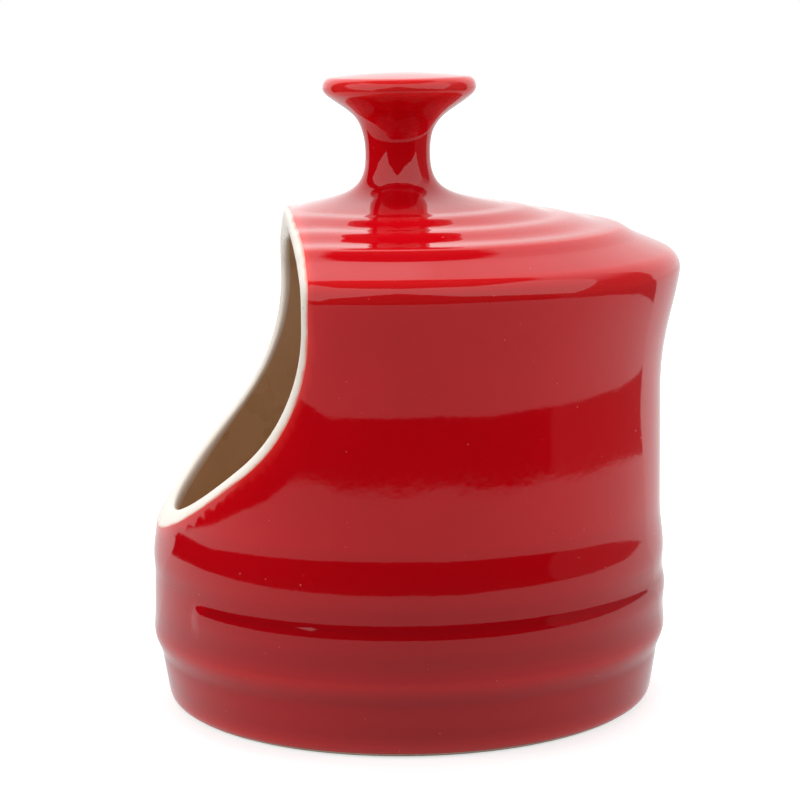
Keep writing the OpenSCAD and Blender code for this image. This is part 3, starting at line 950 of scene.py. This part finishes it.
def stage_sheet(name, corners, material):
    """A flat or bent sheet of the studio."""
    mesh = bpy.data.meshes.new(name)
    mesh.from_pydata(corners, [], [tuple(range(len(corners)))])
    sheet = bpy.data.objects.new(name, mesh)
    bpy.context.scene.collection.objects.link(sheet)
    wear(sheet, material)
    return sheet


def blank_tree(owner):
    owner.use_nodes = True
    owner.node_tree.nodes.clear()
    return Tree(owner)


def table_material():
    """White to the camera with the pot's shadow on it, and a level of its own in the gloss."""
    m = bpy.data.materials.new("white_table")
    t = blank_tree(m)
    path = t.add("ShaderNodeLightPath")
    where = t.add("ShaderNodeNewGeometry").outputs["Position"]
    length = t.add("ShaderNodeVectorMath", operation="LENGTH")
    t.feed(length.inputs[0], where)
    away = length.outputs["Value"]
    haze = t.ramp(away, HAZE_FROM, HAZE_TO, HAZE_LOW, 1.0)
    glow, lit = t.add("ShaderNodeEmission"), t.add("ShaderNodeBsdfDiffuse")
    t.feed(glow.inputs["Strength"], t.times(haze, path.outputs["Is Camera Ray"]))
    t.feed(lit.inputs["Color"], (FLOOR_ALBEDO, FLOOR_ALBEDO, FLOOR_ALBEDO))
    seen = t.add("ShaderNodeAddShader")
    t.feed(seen.inputs[0], lit.outputs[0])
    t.feed(seen.inputs[1], glow.outputs[0])
    ahead, across = t.dot(where, AHEAD), t.dot(where, ACROSS)
    share = t.math("DIVIDE", ahead, away)
    near = t.ramp(away, TABLE_R - TABLE_SOFT, TABLE_R + TABLE_SOFT, 1.0, 0.0)
    level = t.times(near, t.ramp(share, SIDES_COS, 1.0, FLOOR_SIDES, FLOOR_FRONT))
    behind = t.ramp(share, BEHIND_COS - BEHIND_SOFT, BEHIND_COS + BEHIND_SOFT, FLOOR_BEHIND, 0.0)
    level = t.math("MAXIMUM", level, behind)
    bearing = t.math("ARCTAN2", across, ahead)
    right = t.ramp(bearing, rad(SIDE_FROM - 1), rad(SIDE_FROM + 1), 0.0, FLOOR_RIGHT)
    level = t.math("MAXIMUM", level, right)
    card = t.add("ShaderNodeEmission")
    t.feed(card.inputs["Strength"], level)
    output = t.add("ShaderNodeOutputMaterial")
    t.feed(output.inputs["Surface"], t.pick(path.outputs["Is Glossy Ray"], seen.outputs[0], card.outputs[0]))
    return m


def make_floor():
    h = FLOOR_HALF
    stage_sheet("table_top", [(-h, -h, 0), (h, -h, 0), (h, h, 0), (-h, h, 0)], table_material())


def make_world():
    """White to the camera, an even glow for the shading, and a light tent's walls in the gloss."""
    world = bpy.data.worlds.new("studio")
    bpy.context.scene.world = world
    t = blank_tree(world)
    path = t.add("ShaderNodeLightPath")
    way = t.add("ShaderNodeTexCoord").outputs["Generated"]

    def step(value, edge, soft):
        return t.ramp(value, edge - soft, edge + soft)

    azimuth = t.times(t.math("ARCTAN2", t.dot(way, ACROSS), t.dot(way, AHEAD)), 180 / math.pi)
    flipped = t.times(azimuth, -1.0)
    height = t.times(t.math("ARCSINE", t.dot(way, (0, 0, 1))), 180 / math.pi)
    under_ceiling = t.ramp(height, CEILING - 2, CEILING + 2, 1.0, 0.0)
    back_right = t.times(step(azimuth, WALLS_FROM, 1), under_ceiling,
                         t.ramp(azimuth, GLOW_RIGHT_FROM, GLOW_RIGHT_TO, 1.0, WALL_GLOW))
    back_left = t.times(step(flipped, WALLS_FROM, 2), under_ceiling,
                        t.ramp(flipped, WALLS_FROM, GLOW_LEFT_TO, 1.0, WALL_GLOW))
    side = t.times(step(azimuth, SIDE_FROM, 2), step(height, SIDE_BOTTOM, 4),
                   t.ramp(height, SIDE_DIM_TO, SIDE_FULL_FROM, SIDE_DIM, SIDE_FULL), under_ceiling)
    walls = t.math("MAXIMUM", t.math("MAXIMUM", back_right, back_left), side)
    gloss = t.math("MAXIMUM", t.times(walls, WALL_GLOSS), ROOM_GLOSS)

    def background(strength):
        n = t.add("ShaderNodeBackground", Color=(1, 1, 1, 1))
        t.feed(n.inputs["Strength"], strength)
        return n.outputs[0]

    shaded = t.pick(path.outputs["Is Glossy Ray"], background(ROOM_LIGHT), background(gloss))
    output = t.add("ShaderNodeOutputWorld")
    t.feed(output.inputs["Surface"], t.pick(path.outputs["Is Camera Ray"], shaded, background(1.0)))


def make_card(name, corners):
    """A glowing panel that only the gloss sees. Each corner: azimuth in degrees, height in mm."""
    m = bpy.data.materials.new(name)
    t = blank_tree(m)
    glow = t.add("ShaderNodeEmission", Strength=CARD_GLOW)
    output = t.add("ShaderNodeOutputMaterial")
    t.feed(output.inputs["Surface"], glow.outputs[0])
    places = []
    for azimuth, height in corners:
        at = direction(azimuth, 0) * CARD_FAR * MM
        places.append((at.x, at.y, height * MM))
    card = stage_sheet(name, places, m)
    card.visible_camera = card.visible_diffuse = card.visible_shadow = False


def softbox(name, azimuth, elevation, wide, high, radiance):
    """A lamp that faces the pot and lights its colours, but that the gloss doesn't see."""
    data = bpy.data.lights.new(name, "AREA")
    data.shape = "RECTANGLE"
    data.size, data.size_y = wide, high
    data.energy = radiance * math.pi * wide * high
    lamp = bpy.data.objects.new(name, data)
    back = direction(azimuth, elevation)
    side = Vector((0, 0, 1)).cross(back).normalized()
    place = Matrix.Translation(back * LAMP_FAR + Vector((0, 0, LAMP_AIM_Z)))
    lamp.matrix_world = place @ Matrix([side, back.cross(side), back]).transposed().to_4x4()
    lamp.visible_glossy = False
    bpy.context.scene.collection.objects.link(lamp)


make_floor()
make_world()
make_card("left_card", [(-40, 62), (-32, 165), (-21, 227), (-3, 399), (-3, 860), (-45, 860),
                        (-95, 860), (-95, 330), (-72, 150)])
make_card("right_card", [(-3, 399), (21, 211), (43, 150), (67, 72), (92, 389), (92, 860),
                         (45, 860), (-3, 860)])
softbox("top_box", 180, 75, wide=0.9, high=0.5, radiance=5.4)
softbox("front_box", 0, 52, wide=0.9, high=0.35, radiance=1.0)
softbox("left_box", -75, 22, wide=0.5, high=0.5, radiance=4.6)
softbox("right_box", 75, 22, wide=0.5, high=0.5, radiance=3.2)

bpy.context.scene.view_settings.view_transform = "Standard"
